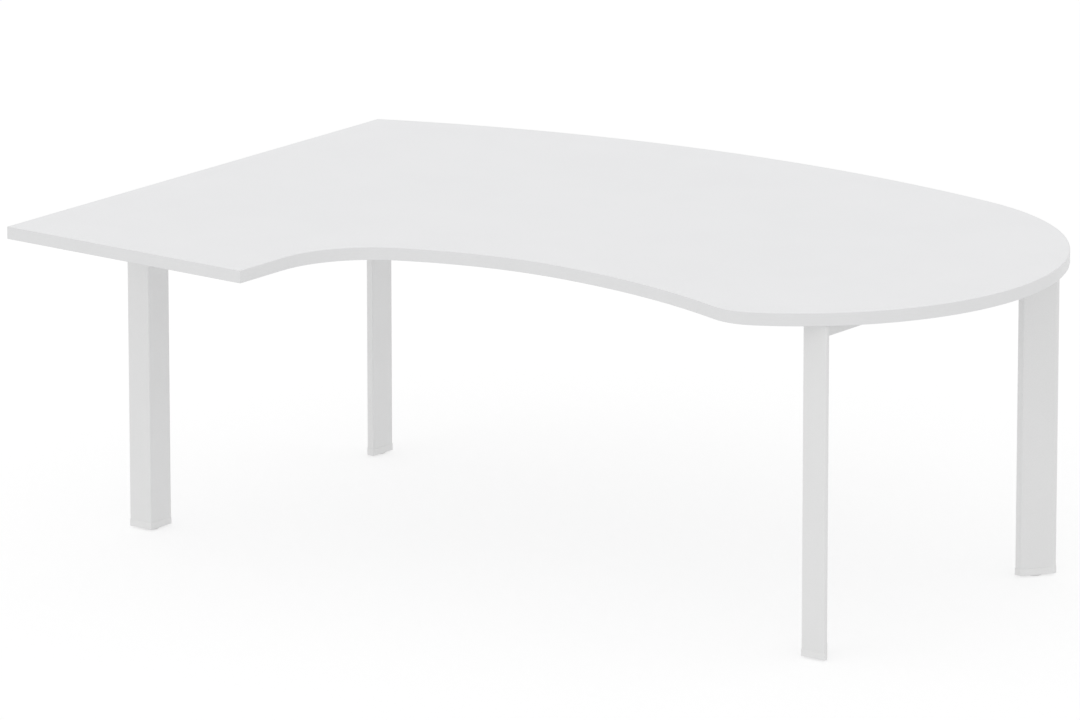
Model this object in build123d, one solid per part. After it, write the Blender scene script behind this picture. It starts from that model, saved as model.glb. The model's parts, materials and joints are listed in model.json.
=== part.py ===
from build123d import *
import math
import os

# A four-legged office desk with a wide curved worktop: a straight left side, a narrow return
# towards the user, a scooped front edge, a rounded right end and a long bowed back edge.
# Millimetres, +X along the desk, +Y from the user to the back, +Z up, floor at zero.

# Worktop: sizes
overall_length = 2000.0
desk_height = 745.0
worktop_thickness = 27.0
edge_band_thickness = 2.0
edge_band_round = 0.8

# Worktop: outline, measured from the front left corner
left_side_length = 1260.0
return_width = 637.0
end_radius = 579.0
end_front_depth = 299.0
back_radius = 2610.0
front_apex_x = 1142.0
front_apex_depth = 436.5
front_left_radius = 853.0
front_right_radius = 1370.0
inner_corner_radius = 234.0
outer_corner_radius = 121.0

# Leg frames: places of their inner faces, from the left side and from the rounded end
left_frame_x = 66.0
left_frame_rear_inset = 36.0
right_frame_end_inset = 249.0
frame_depth = 840.0

# Leg: a five-sided tube with one square corner, in its own plan directions
leg_across = 59.0
leg_along = 69.0
leg_across_tip = 9.0
leg_along_tip = 16.0
leg_wall = 2.0
leg_round = 2.5

# Foot cap, nut and levelling foot
cap_lift = 4.0
cap_height = 15.5
cap_proud = 0.8
cap_round = 1.0
plug_depth = 26.0
plug_clearance = 0.2
foot_across = 20.5
foot_along = 26.0
pad_radius = 16.0
pad_recess = 2.0
pad_recess_clearance = 0.8
pad_round = 0.8
pad_floor = 1.5
pad_grip_count = 20
pad_grip_radius = 1.0
foot_travel = 12.0
stud_radius = 3.95
stud_passage_clearance = 0.5
stud_end_margin = 3.0
stud_chamfer = 0.8
stud_head_width = 3.0
stud_head_thickness = 2.0
stud_running_clearance = 0.05
nut_across_flats = 13.0
nut_thickness = 6.5

# Leg plate
plate_thickness = 3.0
plate_tongue = 56.0
plate_round = 4.0

# Beams
beam_width = 40.0
beam_depth = 30.0
beam_wall = 1.5
beam_round = 2.0
beam_leg_gap = 20.0
end_plate_thickness = 3.0
end_plate_flange = 22.0
spacer_radius = 10.0
beam_screw_count = 3

# Fasteners
bolt_radius = 3.0
bolt_length = 16.0
bolt_head_across_flats = 10.0
bolt_head_height = 4.0
csk_head_depth = 2.5
rivet_nut_wall = 1.6
rivet_nut_length = 12.0
bolt_socket = 4.0
bolt_socket_depth = 2.0
screw_radius = 2.5
screw_length = 20.0
screw_head_radius = 4.6
screw_head_height = 3.0
screw_socket = 3.0
screw_socket_depth = 2.0
screw_hole_clearance = 0.25
driver_access_radius = 7.0
pilot_extra = 1.0

# One overrun for every cut that passes a face
overrun = 1.0

# Screw places: down to the beam as shares of the plate's tongue, up to the worktop as shares
# of the whole plate
frame_screw_shares = (0.27, 0.73)
plate_screw_shares = (0.4, 0.85)

UP = (0, 0, 1)


def unit(vector):
    size = math.hypot(vector[0], vector[1])
    return (vector[0] / size, vector[1] / size)


def along(start, towards, distance):
    """The point at a distance from start in the direction of another point."""
    step = unit((towards[0] - start[0], towards[1] - start[1]))
    return (start[0] + step[0] * distance, start[1] + step[1] * distance)


def circles_meet(first, first_radius, second, second_radius):
    """Where two circles cross, on the right hand of the way from the first to the second."""
    gap = math.hypot(second[0] - first[0], second[1] - first[1])
    reach = (first_radius ** 2 - second_radius ** 2 + gap ** 2) / (2 * gap)
    height = math.sqrt(first_radius ** 2 - reach ** 2)
    step = unit((second[0] - first[0], second[1] - first[1]))
    return (first[0] + step[0] * reach + step[1] * height,
            first[1] + step[1] * reach - step[0] * height)


# Arc centres of the worktop outline
end_centre = (overall_length - end_radius, end_front_depth + end_radius)
back_centre = circles_meet((0, left_side_length), back_radius, end_centre, back_radius - end_radius)
front_left_centre = (front_apex_x, front_apex_depth - front_left_radius)
front_right_centre = (front_apex_x, front_apex_depth - front_right_radius)
outer_corner_centre = circles_meet(front_right_centre, front_right_radius + outer_corner_radius,
                                   end_centre, end_radius - outer_corner_radius)
inner_corner_x = return_width + inner_corner_radius
inner_corner_rise = math.sqrt((front_left_radius - inner_corner_radius) ** 2
                              - (inner_corner_x - front_apex_x) ** 2)
inner_corner_centre = (inner_corner_x, front_left_centre[1] + inner_corner_rise)
overall_depth = back_centre[1] + back_radius

# The left frame ends just short of the worktop's back left corner, the right one is centred on
# the rounded end, and the long beams lie just inside the legs of both
left_frame_front = left_side_length - left_frame_rear_inset - frame_depth
right_frame_x = overall_length - right_frame_end_inset
right_frame_front = end_centre[1] - frame_depth / 2
end_plate_half = beam_width / 2 + end_plate_flange
beam_inset = leg_along + beam_leg_gap + end_plate_half
front_beam_y = max(left_frame_front, right_frame_front) + beam_inset
rear_beam_y = min(left_frame_front, right_frame_front) + frame_depth - beam_inset

# Levels
underside = desk_height - worktop_thickness
plate_bottom = underside - plate_thickness
cap_bottom = cap_lift
tube_bottom = cap_bottom + cap_height
plug_top = tube_bottom + plug_depth
pad_top = cap_lift + pad_recess
nut_bottom = plug_top - nut_thickness
stud_top = plug_top + foot_travel + stud_end_margin
beam_top = plate_bottom
beam_bottom = beam_top - beam_depth
beam_middle = (beam_top + beam_bottom) / 2

# Each leg: name, place of its square corner, and the ways it runs across and along from there
legs = {
    "front_left": (left_frame_x, left_frame_front, -1, 1),
    "rear_left": (left_frame_x, left_frame_front + frame_depth, -1, -1),
    "front_right": (right_frame_x, right_frame_front, 1, 1),
    "rear_right": (right_frame_x, right_frame_front + frame_depth, 1, -1),
}
beams_y = {"front": front_beam_y, "rear": rear_beam_y}


def at(x, y):
    """A plan point in the desk's own frame, whose origin is under the middle of its box."""
    return (x - overall_length / 2, y - overall_depth / 2)


def leg_point(leg, across, forward):
    """A plan point given from a leg's square corner."""
    corner_x, corner_y, way_x, way_y = legs[leg]
    return at(corner_x + way_x * across, corner_y + way_y * forward)


def arc(centre, radius, start, end):
    """An arc of less than half a turn between two plan points."""
    middle = along(centre, ((start[0] + end[0]) / 2, (start[1] + end[1]) / 2), radius)
    return ThreePointArc(at(*start), at(*middle), at(*end))


def worktop_outline(inset):
    """The closed plan outline of the worktop, moved inwards by the inset."""
    left_back_drop = math.sqrt((back_radius - inset) ** 2 - (inset - back_centre[0]) ** 2)
    front_left = (inset, inset)
    return_right = (return_width - inset, inset)
    inner_start = (return_width - inset, inner_corner_centre[1])
    inner_end = along(front_left_centre, inner_corner_centre, front_left_radius + inset)
    apex = (front_apex_x, front_apex_depth + inset)
    outer_start = along(front_right_centre, outer_corner_centre, front_right_radius + inset)
    outer_end = along(end_centre, outer_corner_centre, end_radius - inset)
    end_top = along(back_centre, end_centre, back_radius - inset)
    back_left = (inset, back_centre[1] + left_back_drop)
    edges = [
        Line(at(*front_left), at(*return_right)),
        Line(at(*return_right), at(*inner_start)),
        arc(inner_corner_centre, inner_corner_radius + inset, inner_start, inner_end),
        arc(front_left_centre, front_left_radius + inset, inner_end, apex),
        arc(front_right_centre, front_right_radius + inset, apex, outer_start),
        arc(outer_corner_centre, outer_corner_radius - inset, outer_start, outer_end),
        arc(end_centre, end_radius - inset, outer_end, end_top),
        arc(back_centre, back_radius - inset, end_top, back_left),
        Line(at(*back_left), at(*front_left)),
    ]
    return make_face(Wire([edge.edge() for edge in edges]).edges())


def slab(face, bottom, top):
    """A plan face made into a solid between two levels."""
    return extrude(Pos(0, 0, bottom) * face, amount=top - bottom, dir=UP)


def plan_box(x_low, x_high, y_low, y_high, bottom, top):
    """A box between plan limits measured from the front left corner of the worktop."""
    low = at(x_low, y_low)
    size = (x_high - x_low, y_high - y_low, top - bottom)
    return Pos(low[0], low[1], bottom) * Box(*size, align=(Align.MIN, Align.MIN, Align.MIN))


def post(point, radius, bottom, top):
    """An upright cylinder at a plan point of the desk's own frame."""
    cylinder = Cylinder(radius, top - bottom, align=(Align.CENTER, Align.CENTER, Align.MIN))
    return Pos(point[0], point[1], bottom) * cylinder


def hexagon(point, across_flats, bottom, top):
    """An upright hexagonal prism at a plan point of the desk's own frame."""
    face = RegularPolygon(across_flats / 2, 6, major_radius=False)
    return slab(Pos(point[0], point[1]) * face, bottom, top)


def leg_outline(leg, grow, rounding):
    """The leg's plan section, moved outwards by grow and rounded at its corners."""
    corners = [(0, 0), (leg_across, 0), (leg_across, leg_across_tip),
               (leg_along_tip, leg_along), (0, leg_along)]
    face = Polygon(*[leg_point(leg, *corner) for corner in corners], align=None)
    if grow:
        face = offset(face, amount=grow, kind=Kind.INTERSECTION)
    if rounding:
        face = fillet(face.vertices(), rounding)
    return face


def foot_centre(leg):
    return leg_point(leg, foot_across, foot_along)


def plate_screw_points(leg):
    """Where a leg plate is screwed to the worktop, beside the beam."""
    side = (beam_width + leg_across) / 2
    length = leg_along + plate_tongue
    return [leg_point(leg, side, length * share) for share in plate_screw_shares]


def frame_screw_points(leg):
    """Where a leg plate is screwed down to the side beam."""
    return [leg_point(leg, beam_width / 2, leg_along + plate_tongue * share)
            for share in frame_screw_shares]


def beam_screw_points(beam):
    """Where a long beam is screwed to the worktop."""
    span = right_frame_x - left_frame_x
    return [at(left_frame_x + span * (index + 1) / (beam_screw_count + 1), beams_y[beam])
            for index in range(beam_screw_count)]


def bolt_places():
    """Each long beam bolt: its plan point on the side beam's inner face, and its way in."""
    offset_y = (beam_width + end_plate_flange) / 2
    places = []
    for beam_y in beams_y.values():
        for side_y in (beam_y - offset_y, beam_y + offset_y):
            places.append((at(left_frame_x, side_y), -1))
            places.append((at(right_frame_x, side_y), 1))
    return places


def sideways(point, way, start, end, radius):
    """A cylinder along X from a plan point, between two distances in the given way."""
    low = min(point[0] + way * start, point[0] + way * end)
    cylinder = Cylinder(radius, end - start, align=(Align.CENTER, Align.CENTER, Align.MIN))
    return Pos(low, point[1], beam_middle) * Rot(0, 90, 0) * cylinder


def worktop_screw_seats():
    """Every worktop screw: its plan point and the level that its head bears on."""
    seats = []
    for leg in legs:
        seats += [(point, plate_bottom) for point in plate_screw_points(leg)]
    for beam in beams_y:
        seats += [(point, beam_top - beam_wall) for point in beam_screw_points(beam)]
    return seats


# Worktop
def worktop_panel():
    panel = slab(worktop_outline(edge_band_thickness), underside, desk_height)
    for point, seat in worktop_screw_seats():
        panel -= post(point, screw_radius, underside - overrun, seat + screw_length + pilot_extra)
    return panel


def edge_ring():
    """The whole edging, with its outer top and bottom edges eased."""
    ring = slab(worktop_outline(0), underside, desk_height)
    faces = ring.faces().sort_by(Axis.Z)
    rims = faces[0].outer_wire().edges() + faces[-1].outer_wire().edges()
    ring = fillet(rims, edge_band_round)
    core = slab(worktop_outline(edge_band_thickness), underside - overrun, desk_height + overrun)
    return ring - core


def edge_bands():
    """The edging as its three strips, which butt at the sharp corners."""
    ring = edge_ring()
    low, high = underside - overrun, desk_height + overrun
    left = plan_box(-overrun, edge_band_thickness, -overrun, overall_depth, low, high)
    front = plan_box(edge_band_thickness, return_width, -overrun, edge_band_thickness, low, high)
    return {
        "edge_band_left": ring & left,
        "edge_band_return": ring & front,
        "edge_band_curved": ring - left - front,
    }


# Legs and what closes and carries them
def leg_tube(leg):
    outer = slab(leg_outline(leg, 0, leg_round), tube_bottom, plate_bottom)
    inner = slab(leg_outline(leg, -leg_wall, 0), tube_bottom - overrun, plate_bottom + overrun)
    return outer - inner


def foot_cap(leg):
    centre = foot_centre(leg)
    shoe = slab(leg_outline(leg, cap_proud, leg_round), cap_bottom, tube_bottom)
    rim = shoe.faces().sort_by(Axis.Z)[0].outer_wire().edges()
    shoe = fillet(rim, cap_round)
    plug = slab(leg_outline(leg, -leg_wall - plug_clearance, 0), tube_bottom, plug_top)
    cap = shoe + plug
    cap -= post(centre, pad_radius + pad_recess_clearance, cap_bottom - overrun, pad_top)
    cap -= post(centre, stud_radius + stud_passage_clearance, cap_bottom, plug_top + overrun)
    return cap - hexagon(centre, nut_across_flats, nut_bottom, plug_top + overrun)


def foot_nut(leg):
    centre = foot_centre(leg)
    nut = hexagon(centre, nut_across_flats, nut_bottom, plug_top)
    return nut - post(centre, stud_radius + stud_running_clearance,
                      nut_bottom - overrun, plug_top + overrun)


def foot_pad(leg):
    """The round pad that stands on the floor, moulded round the stud's head, with a grip rim."""
    centre = foot_centre(leg)
    pad = post(centre, pad_radius, 0, pad_top)
    pad = fillet(pad.edges().filter_by(GeomType.CIRCLE), pad_round)
    groove = Cylinder(pad_grip_radius, pad_top + overrun * 2)
    turns = PolarLocations(pad_radius + pad_grip_radius / 2, pad_grip_count)
    pad -= [Pos(centre[0], centre[1], pad_top / 2) * turn * groove for turn in turns]
    head_radius = stud_radius + stud_head_width + stud_running_clearance
    head_top = pad_floor + stud_head_thickness + stud_running_clearance
    pad -= post(centre, head_radius, pad_floor, head_top)
    return pad - post(centre, stud_radius + stud_running_clearance, pad_floor, pad_top + overrun)


def foot_stud(leg):
    """The threaded stud, whose flat round head is held in the pad."""
    centre = foot_centre(leg)
    stud = post(centre, stud_radius, pad_floor, stud_top)
    stud = chamfer(stud.faces().sort_by(Axis.Z)[-1].edges(), stud_chamfer)
    head = post(centre, stud_radius + stud_head_width, pad_floor, pad_floor + stud_head_thickness)
    return stud + head


def leg_plate(leg):
    """The flat plate on a leg's head, whose tongue lies over the side beam."""
    corners = [(0, 0), (leg_across, 0), (leg_across, leg_along + plate_tongue),
               (0, leg_along + plate_tongue)]
    face = Polygon(*[leg_point(leg, *corner) for corner in corners], align=None)
    plate = slab(fillet(face.vertices(), plate_round), plate_bottom, underside)
    for point in plate_screw_points(leg):
        hole_radius = screw_radius + screw_hole_clearance
        plate -= post(point, hole_radius, plate_bottom - overrun, underside + overrun)
    for point in frame_screw_points(leg):
        plate -= countersunk(point, plate_bottom - overrun)
    return plate


# Beams
def beam_tube(x_low, x_high, y_low, y_high, way):
    """A rectangular tube that runs along Y or X, open at its ends."""
    outer = plan_box(x_low, x_high, y_low, y_high, beam_bottom, beam_top)
    runs = Axis.Y if way == "y" else Axis.X
    outer = fillet(outer.edges().filter_by(runs), beam_round)
    side = beam_wall if way == "y" else -overrun
    end = -overrun if way == "y" else beam_wall
    inner = plan_box(x_low + side, x_high - side, y_low + end, y_high - end,
                     beam_bottom + beam_wall, beam_top - beam_wall)
    return outer - inner


def side_beam(side):
    """The beam between a frame's two legs, with its ends shaped round them."""
    front_leg, rear_leg = "front_" + side, "rear_" + side
    corner_x, corner_y, way_x, _ = legs[front_leg]
    x_low = min(corner_x, corner_x + way_x * beam_width)
    beam = beam_tube(x_low, x_low + beam_width, corner_y, corner_y + frame_depth, "y")
    for leg in (front_leg, rear_leg):
        beam -= slab(leg_outline(leg, 0, 0), beam_bottom - overrun, beam_top + overrun)
        for point in frame_screw_points(leg):
            hole_radius = bolt_radius + rivet_nut_wall
            beam -= post(point, hole_radius, beam_top - beam_wall - overrun, beam_top + overrun)
    for point, way in bolt_places():
        if way == way_x:
            beam -= sideways(point, way, -overrun, beam_wall + overrun,
                             bolt_radius + rivet_nut_wall)
    return beam


def long_beam(beam):
    y_middle = beams_y[beam]
    tube = beam_tube(left_frame_x + end_plate_thickness, right_frame_x - end_plate_thickness,
                     y_middle - beam_width / 2, y_middle + beam_width / 2, "x")
    for point in beam_screw_points(beam):
        tube -= post(point, screw_radius + screw_hole_clearance,
                     beam_top - beam_wall - overrun, beam_top + overrun)
        tube -= post(point, driver_access_radius,
                     beam_bottom - overrun, beam_bottom + beam_wall + overrun)
    return tube


def end_plate(beam, side):
    """The plate on a long beam's end, which is bolted to a side beam."""
    low = left_frame_x if side == "left" else right_frame_x - end_plate_thickness
    plate = plan_box(low, low + end_plate_thickness, beams_y[beam] - end_plate_half,
                     beams_y[beam] + end_plate_half, beam_bottom, beam_top)
    plate = fillet(plate.edges().filter_by(Axis.X), plate_round)
    for point, way in bolt_places():
        plate -= sideways(point, way, -end_plate_thickness - overrun, overrun,
                          bolt_radius + screw_hole_clearance)
    return plate


# Fasteners, as groups
def countersunk(point, bottom):
    """A countersunk shape whose head is level with the leg plate's top."""
    cone = Cone(bolt_radius, bolt_radius + csk_head_depth, csk_head_depth,
                align=(Align.CENTER, Align.CENTER, Align.MAX))
    shank = post(point, bolt_radius, bottom, underside - csk_head_depth / 2)
    return shank + Pos(point[0], point[1], underside) * cone


def worktop_screws():
    screws = []
    for point, seat in worktop_screw_seats():
        bottom = seat - screw_head_height
        screw = post(point, screw_head_radius, bottom, seat)
        screw += post(point, screw_radius, bottom, seat + screw_length)
        screw -= hexagon(point, screw_socket, bottom - overrun, bottom + screw_socket_depth)
        screws.append(screw)
    return screws


def frame_screws():
    screws = []
    for leg in legs:
        for point in frame_screw_points(leg):
            socket = hexagon(point, bolt_socket, underside - bolt_socket_depth,
                             underside + overrun)
            screws.append(countersunk(point, underside - bolt_length) - socket)
    return screws


def beam_bolts():
    bolts = []
    for point, way in bolt_places():
        shank = sideways(point, way, -end_plate_thickness, bolt_length - end_plate_thickness,
                         bolt_radius)
        face = RegularPolygon(bolt_head_across_flats / 2, 6, major_radius=False)
        head_at = point[0] - way * end_plate_thickness
        head = Pos(head_at, point[1], beam_middle) * Rot(0, -90 * way, 0) * face
        bolts.append(shank + extrude(head, amount=bolt_head_height, dir=(-way, 0, 0)))
    return bolts


def rivet_nuts():
    outer = bolt_radius + rivet_nut_wall
    nuts = []
    for leg in legs:
        for point in frame_screw_points(leg):
            sleeve = post(point, outer, beam_top - rivet_nut_length, beam_top)
            nuts.append(sleeve - post(point, bolt_radius, beam_top - rivet_nut_length - overrun,
                                      beam_top + overrun))
    for point, way in bolt_places():
        sleeve = sideways(point, way, 0, rivet_nut_length, outer)
        nuts.append(sleeve - sideways(point, way, -overrun, rivet_nut_length + overrun,
                                      bolt_radius))
    return nuts


def spacers():
    rings = []
    for beam in beams_y:
        for point in beam_screw_points(beam):
            ring = post(point, spacer_radius, beam_top, underside)
            hole_radius = screw_radius + screw_hole_clearance
            rings.append(ring - post(point, hole_radius, beam_top - overrun, underside + overrun))
    return rings


def save(name, shape):
    """One STEP file for a node: a solid, or a list of separate solids."""
    solids = shape if isinstance(shape, list) else [shape]
    solids = [solid for item in solids for solid in item.solids()]
    body = solids[0] if len(solids) == 1 else Compound(solids)
    export_step(body, "parts/" + name + ".step")


def main():
    os.makedirs("parts", exist_ok=True)
    save("worktop_panel", worktop_panel())
    for name, band in edge_bands().items():
        save(name, band)
    for leg in legs:
        save("leg_" + leg, leg_tube(leg))
        save("leg_plate_" + leg, leg_plate(leg))
        save("foot_cap_" + leg, foot_cap(leg))
        save("foot_pad_" + leg, foot_pad(leg))
        save("foot_stud_" + leg, foot_stud(leg))
    for side in ("left", "right"):
        save("side_beam_" + side, side_beam(side))
        for beam in beams_y:
            save("end_plate_" + beam + "_" + side, end_plate(beam, side))
    for beam in beams_y:
        save("long_beam_" + beam, long_beam(beam))
    save("foot_nuts", [foot_nut(leg) for leg in legs])
    save("beam_spacers", spacers())
    save("worktop_screws", worktop_screws())
    save("frame_screws", frame_screws())
    save("beam_bolts", beam_bolts())
    save("rivet_nuts", rivet_nuts())


main()
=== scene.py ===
import json
import math
from collections import namedtuple

import bpy
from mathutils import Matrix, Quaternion, Vector


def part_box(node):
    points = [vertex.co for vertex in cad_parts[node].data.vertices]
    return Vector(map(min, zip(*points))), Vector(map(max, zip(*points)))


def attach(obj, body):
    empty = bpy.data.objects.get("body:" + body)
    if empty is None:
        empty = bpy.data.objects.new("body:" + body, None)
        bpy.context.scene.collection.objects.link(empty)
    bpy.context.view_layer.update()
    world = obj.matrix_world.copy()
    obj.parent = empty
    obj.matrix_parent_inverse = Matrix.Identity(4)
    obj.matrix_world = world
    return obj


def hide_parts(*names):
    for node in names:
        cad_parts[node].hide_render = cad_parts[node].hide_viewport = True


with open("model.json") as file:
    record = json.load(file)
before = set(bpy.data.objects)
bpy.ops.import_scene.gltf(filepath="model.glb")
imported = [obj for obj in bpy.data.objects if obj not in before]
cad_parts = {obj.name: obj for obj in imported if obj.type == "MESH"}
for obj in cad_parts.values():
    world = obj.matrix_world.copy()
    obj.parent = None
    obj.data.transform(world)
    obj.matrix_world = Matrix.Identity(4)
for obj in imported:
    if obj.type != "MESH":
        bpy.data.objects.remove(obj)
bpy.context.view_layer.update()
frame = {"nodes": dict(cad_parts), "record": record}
nodes = frame["nodes"]
legs = ("front_left", "rear_left", "front_right", "rear_right")

MM = 0.001

# Threaded stud of a levelling foot
thread_pitch = 1.25 * MM
thread_crest = 3.95 * MM
thread_root = 3.25 * MM
thread_flat_share = 0.12
stud_head_radius = 6.95 * MM
stud_head_height = 2.0 * MM
stud_ease = 0.3 * MM
stud_tip_radius = 3.05 * MM
rings_per_turn = 8
stud_segments = 32
stud_crease = math.radians(40)

# Camera: a long lens far from the desk, at its front right
view_turn = math.radians(37.607)
view_down = math.radians(14.584)
view_roll = math.radians(-0.034)
view_distance = 20.974
view_aim = Vector((-0.2976, 0.1921, 0.3709))
lens_mm = 324.04
sensor_mm = 36.0
clip_near = 0.05
clip_far = 200.0

# Light: an even pale sky that shows as white, and one wide soft light from the front
sky_colour = (1.0, 1.0, 1.0, 1.0)
sky_shown = 1.0
sky_strength = 0.847
key_strength = 0.209
key_direction = Vector((0.133, -0.754, 0.643))
key_spread = math.radians(70)

# Floor: half its brightness is lit and keeps the shadow, and the rest is an even glow. Together
# they light the desk no more than a plain white floor would.
floor_albedo = 0.50
floor_glow_shown = 0.57
floor_glow_lighting = 0.32
floor_radius = 45.0

# The part of a noise's range that most of its values fall in
noise_low, noise_high = 0.3, 0.7

# Edge mask: the number of rays, and the share of them that meet nothing inside the piece, at an
# edge and on a flat face
edge_rays = 6
edge_open, flat_open = 0.80, 0.97

# The Mix node's colour sockets go by number, because it has others of the same names
mix_first, mix_second, mix_result = 6, 7, 2

# Two patterns, with the size of their features. A stretch below 1 draws them out along that axis.
Noise = namedtuple("Noise", "size detail roughness stretch", defaults=(2.0, 0.5, None))
Cells = namedtuple("Cells", "size")

# A fine texture: its depth, how strongly it paints shade into its low places and light onto its
# high places, and how much rougher its high places are
Texture = namedtuple("Texture", "pattern depth shade roughness", defaults=(0.0, 0.0))

# Wear on outer edges: its width, its patches with their least and greatest strength, the worn
# colour, and how much rougher it is. The patches begin at one noise value of span and are full at
# the other.
Wear = namedtuple("Wear", "reach patches strength tone roughness span",
                  defaults=(0.0, (noise_low, noise_high)))

# A finish: two tones in soft clouds, a roughness that varies over a range, its textures and wear,
# and the values that are the same all over it
Finish = namedtuple("Finish", "name tones clouds roughness_noise roughness_range "
                              "textures wear uniform")

# Each texture's shading value paints shade into its low places and light onto its high ones
finish_by_slot = {
    # Melamine board: an even tone with a fine pearl grain pressed into it
    "worktop_board": Finish(
        name="white_melamine",
        tones=((0.866, 0.868, 0.878), (0.878, 0.880, 0.889)),
        clouds=Noise(220 * MM, detail=3.0),
        roughness_noise=Noise(90 * MM, detail=4.0, roughness=0.6),
        roughness_range=(0.37, 0.43),
        textures=(
            Texture(Noise(0.9 * MM, detail=3.0, roughness=0.6),
                    depth=0.07 * MM, shade=0.022, roughness=-0.03),
            Texture(Cells(0.45 * MM), depth=0.02 * MM),
        ),
        wear=None,
        uniform={"IOR": 1.5},
    ),
    # Plastic edging: a shade darker than the board, with fine lines from its extrusion
    "edge_band": Finish(
        name="white_edging",
        tones=((0.826, 0.828, 0.833), (0.840, 0.842, 0.847)),
        clouds=Noise(60 * MM, detail=3.0),
        roughness_noise=Noise(20 * MM, detail=3.0, roughness=0.6),
        roughness_range=(0.38, 0.46),
        textures=(
            Texture(Noise(0.5 * MM, stretch=(0.02, 0.02, 1.0)), depth=0.02 * MM, shade=0.012),
            Texture(Noise(0.7 * MM), depth=0.02 * MM, shade=0.012),
        ),
        wear=Wear(reach=1.2 * MM, patches=Noise(6 * MM, detail=4.0, roughness=0.7),
                  strength=(0.1, 0.5), tone=(0.795, 0.797, 0.800), roughness=0.2),
        uniform={"IOR": 1.5},
    ),
    # Powder coat on steel: a fine orange peel, scuffed a little on its edges
    "frame_paint": Finish(
        name="white_powder_coat",
        tones=((0.850, 0.851, 0.850), (0.864, 0.865, 0.864)),
        clouds=Noise(120 * MM, detail=3.0),
        roughness_noise=Noise(30 * MM, detail=4.0, roughness=0.6),
        roughness_range=(0.38, 0.48),
        textures=(
            Texture(Noise(1.8 * MM), depth=0.12 * MM, shade=0.015),
            Texture(Noise(0.6 * MM), depth=0.03 * MM, shade=0.015),
        ),
        wear=Wear(reach=1.6 * MM, patches=Noise(9 * MM, detail=5.0, roughness=0.7),
                  strength=(0.0, 0.6), tone=(0.79, 0.792, 0.795), roughness=0.2,
                  span=(0.46, 0.68)),
        uniform={"IOR": 1.5},
    ),
    # Moulded plastic of the foot caps: a fine spark texture, rubbed where feet and brooms touch it
    "foot_plastic": Finish(
        name="white_moulded_plastic",
        tones=((0.864, 0.865, 0.862), (0.878, 0.879, 0.876)),
        clouds=Noise(30 * MM, detail=3.0),
        roughness_noise=Noise(6 * MM, detail=3.0),
        roughness_range=(0.50, 0.60),
        textures=(
            Texture(Cells(0.7 * MM), depth=0.05 * MM, shade=0.018),
            Texture(Noise(0.4 * MM), depth=0.02 * MM, shade=0.015),
        ),
        wear=Wear(reach=1.0 * MM, patches=Noise(5 * MM, detail=5.0, roughness=0.7),
                  strength=(0.0, 0.7), tone=(0.76, 0.76, 0.755), roughness=-0.15,
                  span=(0.50, 0.68)),
        uniform={"IOR": 1.48},
    ),
    # Pale hard plastic of the pads and spacers, scuffed where it stands
    "foot_pad_plastic": Finish(
        name="pale_pad_plastic",
        tones=((0.84, 0.84, 0.832), (0.87, 0.87, 0.862)),
        clouds=Noise(5 * MM, detail=4.0, roughness=0.65),
        roughness_noise=Noise(2 * MM, detail=3.0),
        roughness_range=(0.50, 0.66),
        textures=(
            Texture(Noise(0.5 * MM, detail=3.0), depth=0.03 * MM, shade=0.02),
        ),
        wear=Wear(reach=0.8 * MM, patches=Noise(2 * MM, detail=4.0, roughness=0.7),
                  strength=(0.0, 0.9), tone=(0.74, 0.735, 0.725)),
        uniform={"IOR": 1.48},
    ),
    # Zinc plating, with a faint cloudy bloom and rubbed corners
    "zinc_steel": Finish(
        name="zinc_plating",
        tones=((0.64, 0.65, 0.66), (0.76, 0.765, 0.77)),
        clouds=Noise(3 * MM, detail=4.0, roughness=0.6),
        roughness_noise=Noise(1.2 * MM, detail=3.0),
        roughness_range=(0.26, 0.44),
        textures=(
            Texture(Noise(0.3 * MM), depth=0.01 * MM),
        ),
        wear=Wear(reach=0.6 * MM, patches=Noise(1.5 * MM, detail=3.0),
                  strength=(0.2, 1.0), tone=(0.82, 0.82, 0.81), roughness=-0.1),
        uniform={"Metallic": 1.0},
    ),
}


def clear_defaults():
    """Takes the start-up file's own cube, lamp and camera out."""
    for name in ("Cube", "Light", "Camera"):
        if name in bpy.data.objects:
            bpy.data.objects.remove(bpy.data.objects[name])


def add_object(name, data):
    made = bpy.data.objects.new(name, data)
    bpy.context.scene.collection.objects.link(made)
    return made


def empty_tree(owner):
    """The node tree of a material or world, emptied."""
    owner.use_nodes = True
    owner.node_tree.nodes.clear()
    return owner.node_tree


def add_camera():
    data = bpy.data.cameras.new("view_camera")
    data.sensor_width = sensor_mm
    data.lens = lens_mm
    data.clip_start = clip_near
    data.clip_end = clip_far
    camera = add_object("view_camera", data)
    towards = Vector((math.sin(view_turn) * math.cos(view_down),
                      -math.cos(view_turn) * math.cos(view_down),
                      math.sin(view_down)))
    camera.location = view_aim + towards * view_distance
    turn = (-towards).to_track_quat("-Z", "Y") @ Quaternion((0, 0, 1), view_roll)
    camera.rotation_euler = turn.to_euler()
    bpy.context.scene.camera = camera


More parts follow.
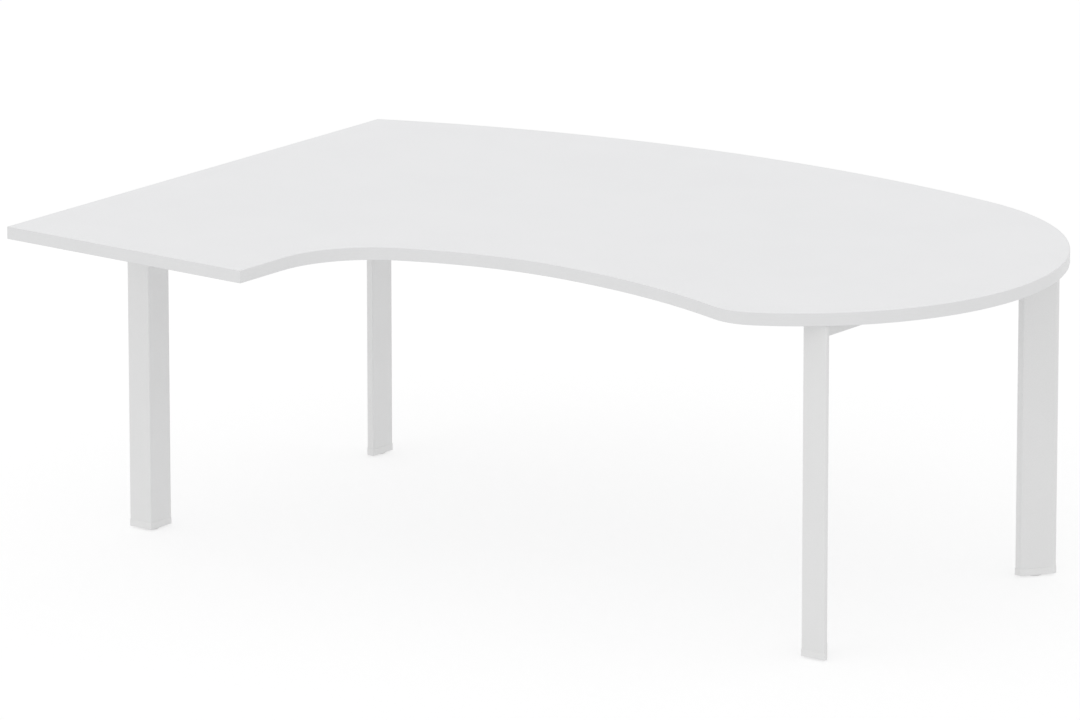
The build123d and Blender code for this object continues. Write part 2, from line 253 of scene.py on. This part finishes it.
class Recipe:
    """A material under construction: its nodes are added and linked by short calls."""

    def __init__(self, name):
        self.material = bpy.data.materials.new(name)
        self.tree = empty_tree(self.material)
        self.output = self.add("ShaderNodeOutputMaterial")
        self.coords = self.add("ShaderNodeTexCoord").outputs["Object"]

    def add(self, kind, **settings):
        node = self.tree.nodes.new(kind)
        for key, value in settings.items():
            setattr(node, key, value)
        return node

    def link(self, source, target):
        self.tree.links.new(source, target)

    def stretched(self, stretch):
        """Texture space, scaled along its own axes."""
        node = self.add("ShaderNodeMapping")
        node.inputs["Scale"].default_value = stretch
        self.link(self.coords, node.inputs["Vector"])
        return node.outputs["Vector"]

    def noise(self, pattern):
        node = self.add("ShaderNodeTexNoise")
        node.inputs["Scale"].default_value = 1.0 / pattern.size
        node.inputs["Detail"].default_value = pattern.detail
        node.inputs["Roughness"].default_value = pattern.roughness
        space = self.stretched(pattern.stretch) if pattern.stretch else self.coords
        self.link(space, node.inputs["Vector"])
        return node.outputs["Fac"]

    def cells(self, pattern):
        node = self.add("ShaderNodeTexVoronoi")
        node.inputs["Scale"].default_value = 1.0 / pattern.size
        self.link(self.coords, node.inputs["Vector"])
        return node.outputs["Distance"]

    def spread(self, value, low, high, start=noise_low, end=noise_high):
        """Maps a noise value's middle part to a range."""
        node = self.add("ShaderNodeMapRange")
        node.inputs["From Min"].default_value = start
        node.inputs["From Max"].default_value = end
        node.inputs["To Min"].default_value = low
        node.inputs["To Max"].default_value = high
        self.link(value, node.inputs["Value"])
        return node.outputs["Result"]

    def maths(self, operation, first, second):
        node = self.add("ShaderNodeMath", operation=operation)
        for index, value in enumerate((first, second)):
            if isinstance(value, (int, float)):
                node.inputs[index].default_value = value
            else:
                self.link(value, node.inputs[index])
        return node.outputs["Value"]

    def blend(self, factor, first, second):
        """A colour between two colours or colour outputs."""
        node = self.add("ShaderNodeMix", data_type="RGBA")
        self.link(factor, node.inputs["Factor"])
        for index, value in ((mix_first, first), (mix_second, second)):
            if isinstance(value, tuple):
                node.inputs[index].default_value = value + (1.0,)
            else:
                self.link(value, node.inputs[index])
        return node.outputs[mix_result]

    def paint_relief_shading(self, colour, height, share):
        """Paints shade into the low places of a texture and light onto the high ones, by that
        share.
        """
        node = self.add("ShaderNodeMix", data_type="RGBA", blend_type="MULTIPLY")
        node.inputs["Factor"].default_value = 1.0
        self.link(colour, node.inputs[mix_first])
        self.link(self.spread(height, 1.0 - share, 1.0 + share), node.inputs[mix_second])
        return node.outputs[mix_result]

    def edge_mask(self, reach):
        """1 on outer edges and 0 on flat faces: near an edge, short rays inwards come out again."""
        inwards = self.add("ShaderNodeAmbientOcclusion",
                           samples=edge_rays, inside=True, only_local=True)
        inwards.inputs["Distance"].default_value = reach
        return self.spread(inwards.outputs["AO"], 1.0, 0.0, start=edge_open, end=flat_open)

    def worn(self, wear):
        """How worn each place is, from 0 to 1: patches along the outer edges."""
        patches = self.spread(self.noise(wear.patches), *wear.strength, *wear.span)
        return self.maths("MULTIPLY", self.edge_mask(wear.reach), patches)

    def bump(self, layers):
        """Stacks height layers, each an output with its depth in metres."""
        normal = None
        for height, depth in layers:
            node = self.add("ShaderNodeBump")
            node.inputs["Strength"].default_value = 1.0
            node.inputs["Distance"].default_value = depth
            self.link(height, node.inputs["Height"])
            if normal is not None:
                self.link(normal, node.inputs["Normal"])
            normal = node.outputs["Normal"]
        return normal

    def surface(self, colour, roughness, normal, uniform):
        """The surface shader, with uniform values on its own sockets."""
        shader = self.add("ShaderNodeBsdfPrincipled")
        for socket, value in (("Base Color", colour), ("Roughness", roughness),
                              ("Normal", normal)):
            self.link(value, shader.inputs[socket])
        for socket, value in uniform.items():
            shader.inputs[socket].default_value = value
        self.link(shader.outputs["BSDF"], self.output.inputs["Surface"])
        return self.material


def make_material(finish):
    recipe = Recipe(finish.name)
    clouds = recipe.spread(recipe.noise(finish.clouds), 0.0, 1.0)
    colour = recipe.blend(clouds, *finish.tones)
    rough = recipe.spread(recipe.noise(finish.roughness_noise), *finish.roughness_range)
    layers = []
    for texture in finish.textures:
        pattern = recipe.cells if isinstance(texture.pattern, Cells) else recipe.noise
        height = pattern(texture.pattern)
        layers.append((height, texture.depth))
        # Painted shade in the texture's low places and painted light on its high ones
        if texture.shade:
            colour = recipe.paint_relief_shading(colour, height, texture.shade)
        if texture.roughness:
            effect = recipe.spread(height, -texture.roughness, texture.roughness)
            rough = recipe.maths("ADD", rough, effect)
    if finish.wear:
        worn = recipe.worn(finish.wear)
        colour = recipe.blend(worn, colour, finish.wear.tone)
        if finish.wear.roughness:
            effect = recipe.maths("MULTIPLY", worn, finish.wear.roughness)
            rough = recipe.maths("ADD", rough, effect)
    return recipe.surface(colour, rough, recipe.bump(layers), finish.uniform)


def dress_nodes(materials):
    """Gives every CAD node its material, by the slot that the record names for it."""
    for part in frame["record"]["subparts"]:
        slots = nodes[part["node"]].data.materials
        slots.clear()
        slots.append(materials[part["material_slot"]])


def thread_radius(level, angle, low, high):
    """The radius of a right-handed thread at a level and an angle, running out at both ends."""
    phase = ((level - low) / thread_pitch - angle / (2 * math.pi)) % 1.0
    ridge = (1.0 - abs(2.0 * phase - 1.0)) * (1.0 + 2 * thread_flat_share) - thread_flat_share
    fade = min(level - low, high - level) / thread_pitch
    ridge = max(0.0, min(1.0, ridge, fade))
    return thread_root + (thread_crest - thread_root) * ridge


def stud_rings(low, high):
    """The stud from its head up: each ring's level and its radius at every angle."""
    angles = [2 * math.pi * index / stud_segments for index in range(stud_segments)]
    head_top = low + stud_head_height
    profile = [(low, stud_head_radius - stud_ease), (low + stud_ease, stud_head_radius),
               (head_top - stud_ease, stud_head_radius), (head_top, stud_head_radius - stud_ease)]
    rings = [(level, [radius] * stud_segments) for level, radius in profile]
    shank_top = high - (thread_crest - stud_tip_radius)
    step = thread_pitch / rings_per_turn
    for index in range(int((shank_top - head_top) / step)):
        level = head_top + index * step
        rings.append((level, [thread_radius(level, a, head_top, shank_top) for a in angles]))
    rings.append((shank_top, [thread_root] * stud_segments))
    rings.append((high, [stud_tip_radius] * stud_segments))
    return rings, angles


def add_threaded_stud(leg, material):
    """A stud with a real thread, in the place of its plain CAD solid."""
    low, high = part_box("foot_stud_" + leg)
    centre = (low + high) / 2
    rings, angles = stud_rings(low.z, high.z)
    points = [(centre.x + radius * math.cos(a), centre.y + radius * math.sin(a), level)
              for level, radii in rings for radius, a in zip(radii, angles)]
    faces = []
    for ring in range(len(rings) - 1):
        first, above = ring * stud_segments, (ring + 1) * stud_segments
        for index in range(stud_segments):
            after = (index + 1) % stud_segments
            faces.append((first + index, first + after, above + after, above + index))
    faces.append(tuple(reversed(range(stud_segments))))
    faces.append(tuple(range(len(points) - stud_segments, len(points))))
    mesh = bpy.data.meshes.new("threaded_stud_" + leg)
    mesh.from_pydata(points, [], faces)
    mesh.materials.append(material)
    mesh.shade_smooth()
    mesh.set_sharp_from_angle(angle=stud_crease)
    stud = add_object("threaded_stud_" + leg, mesh)
    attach(stud, "stud_" + leg)
    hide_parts("foot_stud_" + leg)


def shown_or_lit(tree):
    """1 for what the camera, a reflection or a clear thing shows, 0 for what lights the desk."""
    path = tree.nodes.new("ShaderNodeLightPath")
    value = path.outputs["Is Camera Ray"]
    for name in ("Is Glossy Ray", "Is Transmission Ray"):
        largest = tree.nodes.new("ShaderNodeMath")
        largest.operation = "MAXIMUM"
        tree.links.new(value, largest.inputs[0])
        tree.links.new(path.outputs[name], largest.inputs[1])
        value = largest.outputs["Value"]
    return value


def by_ray(tree, lighting, shown):
    """One value where a surface or sky lights the desk, and another where it is shown."""
    node = tree.nodes.new("ShaderNodeMapRange")
    node.inputs["To Min"].default_value = lighting
    node.inputs["To Max"].default_value = shown
    tree.links.new(shown_or_lit(tree), node.inputs["Value"])
    return node.outputs["Result"]


def add_sky():
    world = bpy.data.worlds.new("sky")
    bpy.context.scene.world = world
    tree = empty_tree(world)
    output = tree.nodes.new("ShaderNodeOutputWorld")
    light = tree.nodes.new("ShaderNodeBackground")
    light.inputs["Color"].default_value = sky_colour
    tree.links.new(by_ray(tree, sky_strength, sky_shown), light.inputs["Strength"])
    tree.links.new(light.outputs["Background"], output.inputs["Surface"])


def add_key_light():
    data = bpy.data.lights.new("key_light", "SUN")
    data.energy = key_strength
    data.angle = key_spread
    light = add_object("key_light", data)
    light.rotation_euler = key_direction.to_track_quat("Z", "Y").to_euler()
    light.location = key_direction.normalized() * view_distance


def floor_material():
    """Keeps a soft shadow, and shows white where nothing shades it."""
    material = bpy.data.materials.new("studio_floor")
    tree = empty_tree(material)
    output = tree.nodes.new("ShaderNodeOutputMaterial")
    surface = tree.nodes.new("ShaderNodeBsdfDiffuse")
    surface.inputs["Color"].default_value = (floor_albedo, floor_albedo, floor_albedo, 1.0)
    glow = tree.nodes.new("ShaderNodeEmission")
    tree.links.new(by_ray(tree, floor_glow_lighting, floor_glow_shown), glow.inputs["Strength"])
    both = tree.nodes.new("ShaderNodeAddShader")
    tree.links.new(surface.outputs["BSDF"], both.inputs[0])
    tree.links.new(glow.outputs["Emission"], both.inputs[1])
    tree.links.new(both.outputs["Shader"], output.inputs["Surface"])
    return material


def add_floor():
    corners = [(x * floor_radius, y * floor_radius, 0.0)
               for x, y in ((-1, -1), (1, -1), (1, 1), (-1, 1))]
    mesh = bpy.data.meshes.new("studio_floor")
    mesh.from_pydata(corners, [], [(0, 1, 2, 3)])
    mesh.materials.append(floor_material())
    floor = add_object("studio_floor", mesh)


clear_defaults()
add_camera()
add_sky()
add_key_light()
add_floor()
materials = {slot: make_material(finish) for slot, finish in finish_by_slot.items()}
dress_nodes(materials)
for leg in legs:
    add_threaded_stud(leg, materials["zinc_steel"])
bpy.context.scene.view_settings.view_transform = "Standard"
